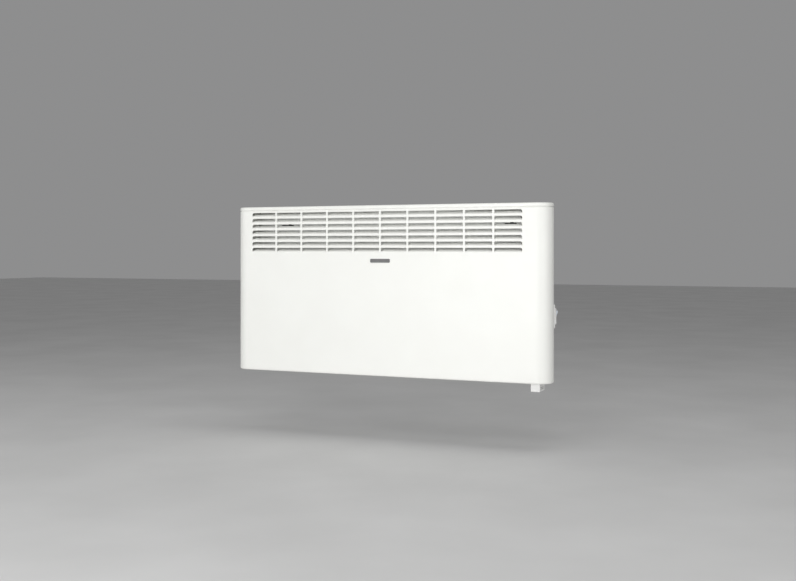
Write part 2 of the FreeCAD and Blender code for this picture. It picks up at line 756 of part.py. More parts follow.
def fan_end_plate(x, hole_r):
    """End plate of the fan with a foot on the rear panel."""
    z = (up(22), up(108))
    plate = box((x, x + SHEET), (FAN_Y - 34, PANEL_FRONT), z)
    outward = (x - 12, x + SHEET) if x < 0 else (x, x + 12)
    foot = box(outward, (PANEL_FRONT - SHEET, PANEL_FRONT), z)
    holes = [rod((x - 1, FAN_Y, up(FAN_HEIGHT)), X_AXIS, hole_r, 4)]
    if x > 0:
        holes += motor_screw_rods(SCREW_R)
    return plate.fuse(foot).cut(holes).removeSplitter()


def impeller():
    """Tangential fan wheel: curved blades between discs, a stub shaft and a driving hub."""
    start = (WHEEL_LEFT, FAN_Y, up(FAN_HEIGHT))
    length = WHEEL_RIGHT - WHEEL_LEFT
    outline = [(0, 17.5), (1.6, 19.5), (2.2, 22), (1.8, 24.6), (1.0, 24.6), (1.3, 22), (0.8, 20), (-0.8, 18)]
    blade = polygon_prism([V(start[0], FAN_Y + y, start[2] + z) for y, z in outline], X_AXIS * length)
    pieces = []
    for index in range(BLADES):
        turned = blade.copy()
        turned.rotate(V(*start), X_AXIS, index * 360 / BLADES)
        pieces.append(turned)
    hub = rod((WHEEL_RIGHT - 14, FAN_Y, start[2]), X_AXIS, 8, 14)
    pieces += [
        rod((WHEEL_RIGHT - 1.5, FAN_Y, start[2]), X_AXIS, WHEEL_R, 1.5),
        tube((-11, FAN_Y, start[2]), X_AXIS, WHEEL_R, 17, 1.5),
        hub.cut(rod((WHEEL_RIGHT - 10, FAN_Y, start[2]), X_AXIS, SHAFT_R, 12)),
        rod((WHEEL_LEFT - 16, FAN_Y, start[2]), X_AXIS, SHAFT_R, 18),
    ]
    wheel = rod(start, X_AXIS, WHEEL_R, 1.5).fuse(pieces)
    return wheel.cut(rod((WHEEL_RIGHT - 10, FAN_Y, start[2]), X_AXIS, SHAFT_R, 12)).removeSplitter()


def fan_bearing():
    """Flanged bush in the left end plate, with running clearance on the stub shaft."""
    left = WHEEL_LEFT - 12
    sleeve = rod((left, FAN_Y, up(FAN_HEIGHT)), X_AXIS, 6, 8)
    flange = rod((left, FAN_Y, up(FAN_HEIGHT)), X_AXIS, 9, WHEEL_LEFT - 8 - left)
    bore = rod((left - 1, FAN_Y, up(FAN_HEIGHT)), X_AXIS, SHAFT_R + RUNNING, 12)
    return sleeve.fuse(flange).cut(bore).removeSplitter()


def motor_screw_rods(radius):
    """Two long screws that hold the motor to the fan's right end plate."""
    places = [V(0, side * MOTOR_SCREW_REACH, 0) for side in (-1, 1)]
    shank = rod((WHEEL_RIGHT + 4, FAN_Y, up(FAN_HEIGHT)), X_AXIS, radius, 42)
    return copies(shank, places)


def motor_screws():
    screws = []
    for shank in motor_screw_rods(SCREW_R - 0.2):
        centre = shank.BoundBox.Center
        head = rod((shank.BoundBox.XMax, centre.y, centre.z), X_AXIS, 3, 2)
        screws.append(shank.fuse(head))
    return screws


def motor_spacers():
    """Rubber sleeves between the end plate and the motor."""
    start = WHEEL_RIGHT + 6 + SHEET
    sleeve = tube((start, FAN_Y, up(FAN_HEIGHT)), X_AXIS, 4.5, SCREW_R, STATOR[0] - 3.5 - start)
    return copies(sleeve, [V(0, side * MOTOR_SCREW_REACH, 0) for side in (-1, 1)])


def motor_stator():
    """Laminated frame: bore for the rotor and a window under the coil's leg."""
    block = rounded_box(STATOR, (FAN_Y - 28, FAN_Y + 28), (up(36), up(104)), 3, X_AXIS)
    cutters = [
        rod((STATOR[0] - 1, FAN_Y, up(FAN_HEIGHT)), X_AXIS, ROTOR_R + 0.4, 20),
        box((STATOR[0] - 1, STATOR[1] + 1), (FAN_Y - 18, FAN_Y + 18), (up(78), up(89))),
    ]
    return block.cut(cutters + motor_screw_rods(SCREW_R))


def motor_coil():
    """Wound bobbin around the stator's upper leg."""
    x = (STATOR[0] - 7, STATOR[1] + 7)
    coil = rounded_box(x, (FAN_Y - 15, FAN_Y + 15), (up(80), up(112)), 4, Y_AXIS)
    coil_ends = [
        box((x[0] - 1, x[1] + 1), (FAN_Y + side - 1, FAN_Y + side + 1), (up(79), up(113)))
        for side in (-17, 17)
    ]
    leg = box((STATOR[0], STATOR[1]), (FAN_Y - 20, FAN_Y + 20), (up(89), up(104)))
    return coil.cut([leg] + coil_ends)


def motor_rotor():
    rotor = rod((STATOR[0], FAN_Y, up(FAN_HEIGHT)), X_AXIS, ROTOR_R, STATOR[1] - STATOR[0])
    return rotor.cut(rod((STATOR[0] - 1, FAN_Y, up(FAN_HEIGHT)), X_AXIS, SHAFT_R, 20))


def motor_shaft():
    return rod((WHEEL_RIGHT - 10, FAN_Y, up(FAN_HEIGHT)), X_AXIS, SHAFT_R, 60)


def motor_bridge(side):
    """Bearing bridge on one face of the stator, with a running bore for the shaft."""
    face = STATOR[0] if side < 0 else STATOR[1]
    z = (up(50), up(66))

    def across(near, far):
        return tuple(sorted((face + side * near, face + side * far)))

    plate = box(across(2, 3.5), (FAN_Y - 27, FAN_Y + 27), z)
    legs = [box(across(0, 2), (FAN_Y + low, FAN_Y + low + 9), z) for low in (-27, 18)]
    boss_x = across(1.2, 8)
    boss = rod((boss_x[0], FAN_Y, up(FAN_HEIGHT)), X_AXIS, 6, boss_x[1] - boss_x[0])
    bore = rod((boss_x[0] - 1, FAN_Y, up(FAN_HEIGHT)), X_AXIS, SHAFT_R + RUNNING, 12)
    return plate.fuse(legs + [boss]).cut([bore] + motor_screw_rods(SCREW_R)).removeSplitter()


def terminal_block():
    """Three-pole block on the rear panel, with a screw well and a lead hole in each pole."""
    block = rounded_box(BLOCK_X, (-51, PANEL_FRONT), (up(66), up(84)), 1.5, Y_AXIS)
    wells = [rod((x, -52, up(75)), Y_AXIS, 2.6, 5) for x in pole_places()]
    return block.cut(wells)


def pole_places():
    middle = (BLOCK_X[0] + BLOCK_X[1]) / 2
    return [middle - 15, middle, middle + 15]


def terminal_screws():
    screws = []
    for x in pole_places():
        screw = rod((x, -50.5, up(75)), Y_AXIS, 2.4, 3.5)
        screws.append(screw.cut(box((x - 3, x + 3), (-51, -49.7), (up(74.6), up(75.4)))))
    return screws


def earth_stud():
    """Threaded stud on the rear panel with its nut and tag washer."""
    place = (EARTH_X, PANEL_FRONT, up(EARTH_HEIGHT))
    stud = rod(place, V(0, -1, 0), 2, 12)
    washer = rod(place, V(0, -1, 0), 4.5, 1)
    nut = hexagon(place[0], place[2], NUT_R)
    nut = nut.extrude(V(0, -3.2, 0))
    nut.translate(V(0, PANEL_FRONT - 1, 0))
    return stud.fuse([washer, nut]).removeSplitter()


def hexagon(x, z, radius):
    corners = [math.radians(60 * index) for index in range(6)]
    points = [V(x + radius * math.cos(a), 0, z + radius * math.sin(a)) for a in corners]
    return Part.Face(Part.makePolygon(points + points[:1]))


def cable_gland():
    """Gland through the bottom sheet: body below, nut above, round way through for a cord."""
    low = up(-6)
    barrel = rod((GLAND_X, GLAND_Y, low), Z_AXIS, 10, 20)
    collar = rod((GLAND_X, GLAND_Y, low), Z_AXIS, 13, 6)
    rim = [e for e in collar.Edges if e.BoundBox.ZMax < low + 0.01]
    collar = collar.makeFillet(1.5, rim)
    corners = [math.radians(60 * index) for index in range(6)]
    points = [V(GLAND_X + 14 * math.cos(a), GLAND_Y + 14 * math.sin(a), up(SHEET)) for a in corners]
    nut = Part.Face(Part.makePolygon(points + points[:1])).extrude(Z_AXIS * 6)
    bore = rod((GLAND_X, GLAND_Y, low - 1), Z_AXIS, GLAND_BORE_R, 24)
    return barrel.fuse([collar, nut]).cut(bore).removeSplitter()


def cord(name, points, radius):
    """Cord along straight runs joined by arcs, each arc as large as its two runs allow."""
    points = [V(x, y, up(height)) for x, y, height in points]
    edges = []
    radii = []
    length = 0.0
    at = points[0]
    for before, corner, after in zip(points, points[1:], points[2:]):
        arrive = (corner - before).normalize()
        leave = (after - corner).normalize()
        turn = arrive.getAngle(leave)
        setback = 0.45 * min((corner - before).Length, (after - corner).Length)
        radii.append(setback / math.tan(turn / 2))
        start = corner - arrive * setback
        end = corner + leave * setback
        inward = (leave - arrive).normalize()
        bulge = radii[-1] * (1 / math.cos(turn / 2) - 1)
        edges.append(line(at, start))
        edges.append(arc(start, corner + inward * bulge, end))
        length += (start - at).Length + radii[-1] * turn
        at = end
    edges.append(line(at, points[-1]))
    length += (points[-1] - at).Length
    first = (points[1] - points[0]).normalize()
    section = Part.Wire(Part.makeCircle(radius, points[0], first))
    solid = Part.Wire(edges).makePipeShell([section], True, False)
    ratio = solid.Volume / (math.pi * radius**2 * length)
    print(name, "length", round(length, 1), "volume ratio", round(ratio, 4))
    print(name, "bend radii", [round(r, 1) for r in radii])
    return solid


def tab_point(offset, reach):
    """Point in line with a switch tab, a given reach beyond its tip, as X, Y and height."""
    tip = on_side(Part.Vertex(-BODY_DEPTH - TAB_L - reach, 0, offset)).Point
    return (tip.x, tip.y, tip.z - BASE)


def capillary():
    """From the thermostat down to the bulb in the sensor housing."""
    points = [
        (382, -70, CASE_LOW),
        (382, -70, 372),
        (385, -73, 328),
        (381, -76, 280),
        (386, -72, 232),
        (383, -75, 184),
        (387, -70, 138),
        (393, -64, 98),
        (BULB_X, BULB_Y, 60),
        (BULB_X, BULB_Y, 26),
    ]
    return cord("capillary", points, CAPILLARY_R)


def lead_supply():
    """From the terminal block's right pole up to the switch."""
    x = pole_places()[2]
    points = [
        (x, -42, 84),
        (x, -42, 104),
        (345, -46, 120),
        (361, -54, 134),
        (383, -62, 144),
        tab_point(-10, 12),
        tab_point(-10, 0),
    ]
    return cord("lead_supply", points, LEAD_R)


def lead_switched():
    """From the switch up to the thermostat."""
    points = [
        tab_point(10, 0),
        tab_point(10, 12),
        (388, -64, 188),
        (383, -62, 210),
        (380, -59, 250),
        (384, -58, 296),
        (379, -60, 340),
        (380, -60, 376),
        (380, -60, CASE_LOW),
    ]
    return cord("lead_switched", points, LEAD_R)


def lead_element():
    """From the thermostat down to the element's upper pin."""
    points = [
        (370, -76, CASE_LOW),
        (370, -76, 376),
        (364, -78, 330),
        (366, -77, 282),
        (358, -78, 236),
        (338, -77, 196),
        (318, -77, 176),
        (TUBE_RIGHT + 28, ELEMENT_Y, TUBE_HEIGHTS[1]),
        (TUBE_RIGHT + 16, ELEMENT_Y, TUBE_HEIGHTS[1]),
    ]
    return cord("lead_element", points, LEAD_R)


def lead_neutral():
    """From the terminal block's middle pole up to the element's lower pin."""
    x = pole_places()[1]
    points = [
        (x, -42, 84),
        (x, -42, 100),
        (319, -49, 115),
        (315, -61, 127),
        (308, -71, 136),
        (TUBE_RIGHT + 28, ELEMENT_Y, TUBE_HEIGHTS[0]),
        (TUBE_RIGHT + 16, ELEMENT_Y, TUBE_HEIGHTS[0]),
    ]
    return cord("lead_neutral", points, LEAD_R)


def lead_motor():
    """From the terminal block's left pole across to the motor coil."""
    x = pole_places()[0]
    points = [
        (x, -42, 84),
        (x, -42, 98),
        (296, -48, 108),
        (278, -60, 112),
        (258, -72, 106),
        (236, FAN_Y, 98),
        (STATOR[1] + 7, FAN_Y, 98),
    ]
    return cord("lead_motor", points, LEAD_R)


def lead_earth():
    """From the block's side to the flat below the earth nut."""
    points = [
        (BLOCK_X[1], -46, 72),
        (353, -46, 72),
        (362, -45, 79),
        (369, -41, 91),
        (EARTH_X, -35.6, 99),
        (EARTH_X, -35.6, EARTH_HEIGHT - NUT_R * math.cos(math.radians(30))),
    ]
    return cord("lead_earth", points, LEAD_R)


def save(name, pieces):
    """Write a sub-part, alone or as a group of separate solids."""
    shape = Part.makeCompound(pieces) if isinstance(pieces, list) else pieces
    solids = shape.Solids
    if not solids or not all(s.isValid() for s in solids):
        print("BAD", name)
    if not isinstance(pieces, list) and len(solids) == 1:
        shape = solids[0]
    elif not isinstance(pieces, list):
        print("SPLIT", name, len(solids))
    shape.exportStep("parts/" + name + ".step")
    span = shape.BoundBox
    low = (round(span.XMin, 1), round(span.YMin, 1), round(span.ZMin, 1))
    high = (round(span.XMax, 1), round(span.YMax, 1), round(span.ZMax, 1))
    print(name, len(solids), low, high)


def main():
    os.makedirs("parts", exist_ok=True)
    save("wall_rail", wall_rail())
    sheet = casing_sheet()
    middle = (-CASING_SPLIT, CASING_SPLIT)
    save("front_casing", casing_part(sheet, middle, (FRONT - 1, FRONT + FLANGE)))
    save("casing_base", casing_part(sheet, middle, (FRONT + FLANGE, REAR + 1)))
    save("casing_end_left", casing_part(sheet, (-CASING_W / 2 - 1, -CASING_SPLIT)))
    save("casing_end_right", casing_part(sheet, (CASING_SPLIT, CASING_W / 2 + 1)))
    save("top_cap", top_cap())
    save("rear_panel", rear_panel())
    save("base_grille", base_grille())
    save("wall_spacers", wall_spacers())
    save("rear_screws", pan_heads(rear_screw_rods(SCREW_R)))
    save("cap_screws", pan_heads(cap_screw_rods(SCREW_R)))
    save("badge", badge())
    save("switch_bezel", switch_bezel())
    save("switch_body", switch_body())
    save("switch_tabs", switch_tabs())
    save("rocker", rocker())
    save("sensor_housing", sensor_housing())
    save("sensor_clip", sensor_clip())
    save("sensor_bulb", sensor_bulb())
    save("capillary", capillary())
    save("thermostat_body", thermostat_body())
    save("thermostat_spindle", thermostat_spindle())
    save("thermostat_dial", thermostat_dial())
    save("element_tube", element_tube())
    save("element_fins", element_fins())
    save("element_bracket_left", element_bracket(BRACKET_LEFT))
    save("element_bracket_right", element_bracket(BRACKET_RIGHT))
    save("element_bushes", element_bushes())
    save("element_pins", element_pins())
    save("heat_shield", heat_shield())
    save("shield_spacers", shield_spacers())
    save("thermal_cutout", thermal_cutout())
    save("fan_scroll", fan_scroll())
    save("fan_tongue", fan_tongue())
    save("fan_end_plate_left", fan_end_plate(WHEEL_LEFT - 6 - SHEET, 6.0))
    save("fan_end_plate_right", fan_end_plate(WHEEL_RIGHT + 6, 10.0))
    save("impeller", impeller())
    save("fan_bearing", fan_bearing())
    save("motor_shaft", motor_shaft())
    save("motor_rotor", motor_rotor())
    save("motor_stator", motor_stator())
    save("motor_coil", motor_coil())
    save("motor_bridge_inner", motor_bridge(-1))
    save("motor_bridge_outer", motor_bridge(1))
    save("motor_screws", motor_screws())
    save("motor_spacers", motor_spacers())
    save("terminal_block", terminal_block())
    save("terminal_screws", terminal_screws())
    save("earth_stud", earth_stud())
    save("cable_gland", cable_gland())
    save("lead_supply", lead_supply())
    save("lead_switched", lead_switched())
    save("lead_element", lead_element())
    save("lead_neutral", lead_neutral())
    save("lead_motor", lead_motor())
    save("lead_earth", lead_earth())


main()
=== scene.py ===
import json
import math

import bmesh
import bpy
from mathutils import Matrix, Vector

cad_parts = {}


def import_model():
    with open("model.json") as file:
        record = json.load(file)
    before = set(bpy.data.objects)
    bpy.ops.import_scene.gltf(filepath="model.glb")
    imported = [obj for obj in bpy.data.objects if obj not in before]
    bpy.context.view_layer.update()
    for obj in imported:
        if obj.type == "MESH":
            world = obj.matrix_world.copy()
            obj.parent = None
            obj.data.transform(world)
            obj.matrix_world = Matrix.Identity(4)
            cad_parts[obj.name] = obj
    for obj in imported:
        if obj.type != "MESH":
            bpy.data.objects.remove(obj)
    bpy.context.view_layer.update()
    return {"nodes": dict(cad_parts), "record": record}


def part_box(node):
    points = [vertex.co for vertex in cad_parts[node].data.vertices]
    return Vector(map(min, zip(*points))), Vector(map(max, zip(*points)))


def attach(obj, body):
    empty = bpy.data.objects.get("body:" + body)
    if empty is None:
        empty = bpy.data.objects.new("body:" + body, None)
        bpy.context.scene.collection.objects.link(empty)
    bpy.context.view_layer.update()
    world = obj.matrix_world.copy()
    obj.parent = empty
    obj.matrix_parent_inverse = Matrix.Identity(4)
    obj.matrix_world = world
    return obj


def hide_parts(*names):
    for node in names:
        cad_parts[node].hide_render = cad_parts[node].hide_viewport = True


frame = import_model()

# ---- Sizes, in metres. Those that a node's box holds come from the frame ----
MM = 0.001
TOLERANCE = 0.001 * MM
SKIN_CREASE = 32  # degrees of turn from which an edge is shaded sharp, or bevelled
NODE_CREASE = 30
SHEET_BEVEL_CREASE = 50
NODE_BEVEL_CREASE = 35
CASING_NODES = ["front_casing", "casing_base", "casing_end_left", "casing_end_right"]
CASING_LOW, CASING_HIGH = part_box("front_casing")
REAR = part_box("casing_end_right")[1].y
CAP_LOW, CAP_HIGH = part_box("top_cap")
FRONT = CASING_LOW.y
BASE = CASING_LOW.z
CASING_TOP = CASING_HIGH.z
TOP = CAP_HIGH.z
HALF_W = 449.5 * MM
CORNER_R = 38 * MM
RAKE = math.radians(15.5)
SHEET = 1.2 * MM
SHEET_EDGE = 0.25 * MM  # softening of the sheet's cut edges
FLANGE = 14 * MM
BOTTOM_R = 4 * MM
BOTTOM_STEPS = 6
EDGE_R = 1.2 * MM
EDGE_STEPS = 3

COLUMNS = 10
ROWS = 7
COLUMN_PITCH = 78 * MM
ROW_PITCH = 16 * MM
SLOT_W = 72.5 * MM
SLOT_H = 12 * MM
GRILLE_X = -7 * MM
GRILLE_DROP = 16.3 * MM
BLADE_R = 4 * MM
BLADE_TURN = math.radians(60)
BLADE_RUN = 8 * MM
BEND_STEPS = 8
RUN_STEPS = 3
BLADE_TRIM = 0.56  # how far a blade's end is cut back for each unit of its depth
SLOT_CORNER_R = 5 * MM
SLOT_CORNER_STEPS = 6
INTAKE_LEFT = -360 * MM
INTAKE_RIGHT = 320 * MM
ARC_STEPS = 14

CAP_SKIRT = TOP - 9.5 * MM
CAP_SHEET = 1.0 * MM
CAP_R = 3.4 * MM
CAP_STEPS = 7
CAP_LINES = [-200 * MM, 0.0, 200 * MM]  # X of the mesh lines on its flat front and rear
TONGUE_INSET = 2.4 * MM
DIAL_LOW, DIAL_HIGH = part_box("thermostat_dial")
DIAL_CENTRE = (DIAL_LOW + DIAL_HIGH) / 2
WELL_R = 24 * MM
WELL_DEPTH = 15 * MM
WELL_RIM_R = 1.0 * MM
WELL_RIM_STEPS = 4
WELL_CHAMFER = 1.0 * MM
WELL_HOLE_R = 5 * MM
WELL_STEPS = 64

BEZEL_LOW, BEZEL_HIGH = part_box("switch_bezel")
SWITCH_CENTRE = (BEZEL_LOW + BEZEL_HIGH) / 2
SWITCH_HOLE_HALF_W = 12.1 * MM
SWITCH_HOLE_HALF_H = 17.9 * MM
SENSOR_HOLE_X = (388.9 * MM, 413.1 * MM)
SENSOR_HOLE_Y = (-78.1 * MM, -33.9 * MM)
GLAND_LOW, GLAND_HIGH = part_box("cable_gland")
GLAND_CENTRE = (GLAND_LOW + GLAND_HIGH) / 2
GLAND_HOLE_R = 10.1 * MM
GLAND_STEPS = 24

SKY = (0.27, 0.27, 0.272)
FLOOR_DROP = 0.17
FLOOR_HALF = 12.0
FILM_WIDTH_MM = 36.0
LENS_MM = 48.13
LENS_SHIFT = -0.0528
LENS_REACH = 60.0
CAMERA_RIGHT = 1.1437
CAMERA_BACK = 2.5472
CAMERA_RISE = 0.3359
CAMERA_TURN = math.radians(23.336)


# ---- Node helpers for materials ---------------------------------------------
class Shader:
    """A material's node tree, with short calls for the nodes used here."""

    def __init__(self, name, roughness, metallic=0.0, specular=0.5):
        self.material = bpy.data.materials.new(name)
        self.material.use_nodes = True
        self.nodes = self.material.node_tree.nodes
        self.links = self.material.node_tree.links
        self.bsdf = self.nodes["Principled BSDF"]
        self.bsdf.inputs["Roughness"].default_value = roughness
        self.bsdf.inputs["Metallic"].default_value = metallic
        self.bsdf.inputs["Specular IOR Level"].default_value = specular
        self.place = self.nodes.new("ShaderNodeTexCoord").outputs["Object"]

    def stretched(self, scale):
        """Object coordinates, scaled by a factor for each axis."""
        mapping = self.nodes.new("ShaderNodeMapping")
        mapping.inputs["Scale"].default_value = scale
        self.links.new(self.place, mapping.inputs["Vector"])
        return mapping.outputs["Vector"]

    def noise(self, scale, detail, vector=None):
        """Cloudy noise in object space, or over the given coordinates."""
        node = self.nodes.new("ShaderNodeTexNoise")
        node.inputs["Scale"].default_value = scale
        node.inputs["Detail"].default_value = detail
        self.links.new(vector or self.place, node.inputs["Vector"])
        return node.outputs["Fac"]

    def cells(self, scale):
        """Distance to the nearest of scattered points."""
        node = self.nodes.new("ShaderNodeTexVoronoi")
        node.inputs["Scale"].default_value = scale
        self.links.new(self.place, node.inputs["Vector"])
        return node.outputs["Distance"]

    def bands(self, axis, scale, distortion=0.0):
        """Soft stripes that run across an axis."""
        node = self.nodes.new("ShaderNodeTexWave")
        node.bands_direction = axis
        node.inputs["Scale"].default_value = scale
        node.inputs["Distortion"].default_value = distortion
        self.links.new(self.place, node.inputs["Vector"])
        return node.outputs["Fac"]

    def spread(self, value, low, high, out_low=0.0, out_high=1.0):
        """Stretch a range of values over another one."""
        node = self.nodes.new("ShaderNodeMapRange")
        node.inputs["From Min"].default_value = low
        node.inputs["From Max"].default_value = high
        node.inputs["To Min"].default_value = out_low
        node.inputs["To Max"].default_value = out_high
        self.links.new(value, node.inputs["Value"])
        return node.outputs["Result"]

    def mix(self, factor, first, second):
        """Blend of two colours, each a triple or another node's output."""
        node = self.nodes.new("ShaderNodeMix")
        node.data_type = "RGBA"
        self.links.new(factor, node.inputs["Factor"])
        for key, colour in (("A", first), ("B", second)):
            socket = next(s for s in node.inputs if s.name == key and s.type == "RGBA")
            if isinstance(colour, tuple):
                socket.default_value = (*colour, 1.0)
            else:
                self.links.new(colour, socket)
        return next(s for s in node.outputs if s.type == "RGBA")

    def colour(self, value):
        self.links.new(value, self.bsdf.inputs["Base Color"])

    def roughness(self, value):
        self.links.new(value, self.bsdf.inputs["Roughness"])

    def bump(self, height, distance, strength, under=None):
        """Bump by a height map, added to another bump where one is given."""
        node = self.nodes.new("ShaderNodeBump")
        node.inputs["Strength"].default_value = strength
        node.inputs["Distance"].default_value = distance
        self.links.new(height, node.inputs["Height"])
        if under is not None:
            self.links.new(under, node.inputs["Normal"])
        self.links.new(node.outputs["Normal"], self.bsdf.inputs["Normal"])
        return node.outputs["Normal"]


# ---- Materials --------------------------------------------------------------
def powder_coat(name, light, dark, roughness):
    """Baked powder coat: warm white, faint mottle, fine orange peel and a little dust."""
    look = Shader(name, roughness, specular=0.45)
    mottle = look.spread(look.noise(9.0, 4.0), 0.35, 0.65)
    speck = look.spread(look.noise(2600.0, 2.0), 0.60, 0.80, 0.0, 0.35)
    base = look.mix(mottle, dark, light)
    look.colour(look.mix(speck, base, dark))
    look.roughness(look.spread(look.noise(45.0, 5.0), 0.3, 0.7, roughness - 0.05, roughness + 0.06))
    peel = look.bump(look.noise(620.0, 2.0), 0.00006, 0.5)
    look.bump(look.noise(2900.0, 1.0), 0.00002, 0.5, under=peel)
    return look.material


def painted_dark(name, light, dark):
    """Satin stove paint on steel."""
    look = Shader(name, 0.5, specular=0.4)
    look.colour(look.mix(look.spread(look.noise(60.0, 5.0), 0.35, 0.7), dark, light))
    look.roughness(look.spread(look.noise(90.0, 4.0), 0.3, 0.7, 0.42, 0.6))
    look.bump(look.noise(900.0, 2.0), 0.00006, 0.5)
    return look.material


def moulded_plastic(name, light, dark, roughness, grain=0.00004):
    """Moulded plastic: spark-eroded grain, slight tone drift and finger marks."""
    look = Shader(name, roughness, specular=0.5)
    drift = look.spread(look.noise(28.0, 4.0), 0.35, 0.68)
    look.colour(look.mix(drift, dark, light))
    look.roughness(look.spread(look.noise(120.0, 5.0), 0.3, 0.7, roughness - 0.06, roughness + 0.08))
    look.bump(look.noise(3800.0, 2.0), grain, 0.6)
    return look.material


def zinc_plate(name, light, dark):
    """Zinc-plated steel sheet with soft spangle and rolling lines."""
    look = Shader(name, 0.38, metallic=1.0)
    spangle = look.spread(look.cells(420.0), 0.0, 0.9)
    cloud = look.mix(spangle, light, dark)
    look.colour(look.mix(look.spread(look.noise(35.0, 4.0), 0.45, 0.75), cloud, dark))
    look.roughness(look.spread(look.noise(260.0, 3.0), 0.3, 0.7, 0.30, 0.48))
    lines = look.noise(900.0, 2.0, vector=look.stretched((0.04, 1.0, 1.0)))
    look.bump(lines, 0.00003, 0.5)
    return look.material


def bare_sheet(name, light, dark):
    """Rolled aluminium with fine rolling lines."""
    look = Shader(name, 0.34, metallic=1.0)
    rolled = look.noise(1400.0, 3.0, vector=look.stretched((1.0, 1.0, 0.03)))
    look.colour(look.mix(look.spread(rolled, 0.3, 0.7), dark, light))
    look.roughness(look.spread(look.noise(70.0, 4.0), 0.3, 0.7, 0.28, 0.44))
    look.bump(rolled, 0.00002, 0.6)
    return look.material


def heat_tinted(name):
    """Stainless sheath with straw and blue heat tints."""
    look = Shader(name, 0.36, metallic=1.0)
    warm = look.mix(look.spread(look.noise(14.0, 3.0), 0.4, 0.62), (0.42, 0.36, 0.28), (0.30, 0.23, 0.16))
    look.colour(look.mix(look.spread(look.noise(22.0, 2.0), 0.58, 0.72), warm, (0.16, 0.17, 0.24)))
    look.bump(look.noise(1100.0, 2.0), 0.00003, 0.5)
    return look.material


def bare_metal(name, light, dark, roughness):
    """Turned or stamped metal with a faint tarnish."""
    look = Shader(name, roughness, metallic=1.0)
    look.colour(look.mix(look.spread(look.noise(160.0, 5.0), 0.35, 0.7), dark, light))
    look.roughness(look.spread(look.noise(210.0, 4.0), 0.3, 0.7, roughness - 0.08, roughness + 0.1))
    look.bump(look.noise(1500.0, 2.0), 0.00002, 0.5)
    return look.material


def rubber(name):
    """Matt black rubber with a little dust."""
    look = Shader(name, 0.82, specular=0.25)
    dust = look.spread(look.noise(120.0, 5.0), 0.4, 0.75)
    look.colour(look.mix(dust, (0.028, 0.028, 0.030), (0.070, 0.068, 0.066)))
    look.bump(look.noise(1700.0, 3.0), 0.00008, 0.7)
    return look.material


def ceramic(name):
    """Unglazed steatite: cream with fine dark specks."""
    look = Shader(name, 0.72, specular=0.3)
    specks = look.spread(look.noise(1500.0, 2.0), 0.66, 0.74)
    body = look.mix(look.spread(look.noise(80.0, 4.0), 0.35, 0.7), (0.70, 0.66, 0.57), (0.82, 0.79, 0.72))
    look.colour(look.mix(specks, body, (0.40, 0.36, 0.30)))
    look.bump(look.noise(1300.0, 3.0), 0.00006, 0.6)
    return look.material


def laminations(name):
    """Edges of stacked electrical steel: fine bands across the stack."""
    look = Shader(name, 0.5, metallic=0.9)
    bands = look.bands("X", 620.0, 0.4)
    look.colour(look.mix(bands, (0.10, 0.10, 0.11), (0.34, 0.34, 0.35)))
    look.bump(bands, 0.00012, 0.8)
    return look.material


def winding(name):
    """Taped coil: overlapping turns of amber tape."""
    look = Shader(name, 0.34, specular=0.5)
    turns = look.bands("X", 95.0, 0.6)
    look.colour(look.mix(turns, (0.42, 0.22, 0.04), (0.66, 0.42, 0.10)))
    look.bump(turns, 0.00025, 0.7)
    return look.material


def striped_lead(name):
    """Green and yellow earth lead."""
    look = Shader(name, 0.45)
    stripe = look.spread(look.bands("DIAGONAL", 60.0), 0.48, 0.52)
    look.colour(look.mix(stripe, (0.05, 0.27, 0.05), (0.62, 0.50, 0.03)))
    look.bump(look.noise(2400.0, 2.0), 0.00003, 0.5)
    return look.material


def pale_floor(name):
    """Plain matt floor."""
    look = Shader(name, 0.75, specular=0.2)
    cloud = look.spread(look.noise(3.0, 5.0), 0.3, 0.7)
    look.colour(look.mix(cloud, (0.66, 0.66, 0.655), (0.72, 0.72, 0.715)))
    look.bump(look.noise(260.0, 3.0), 0.0002, 0.3)
    return look.material


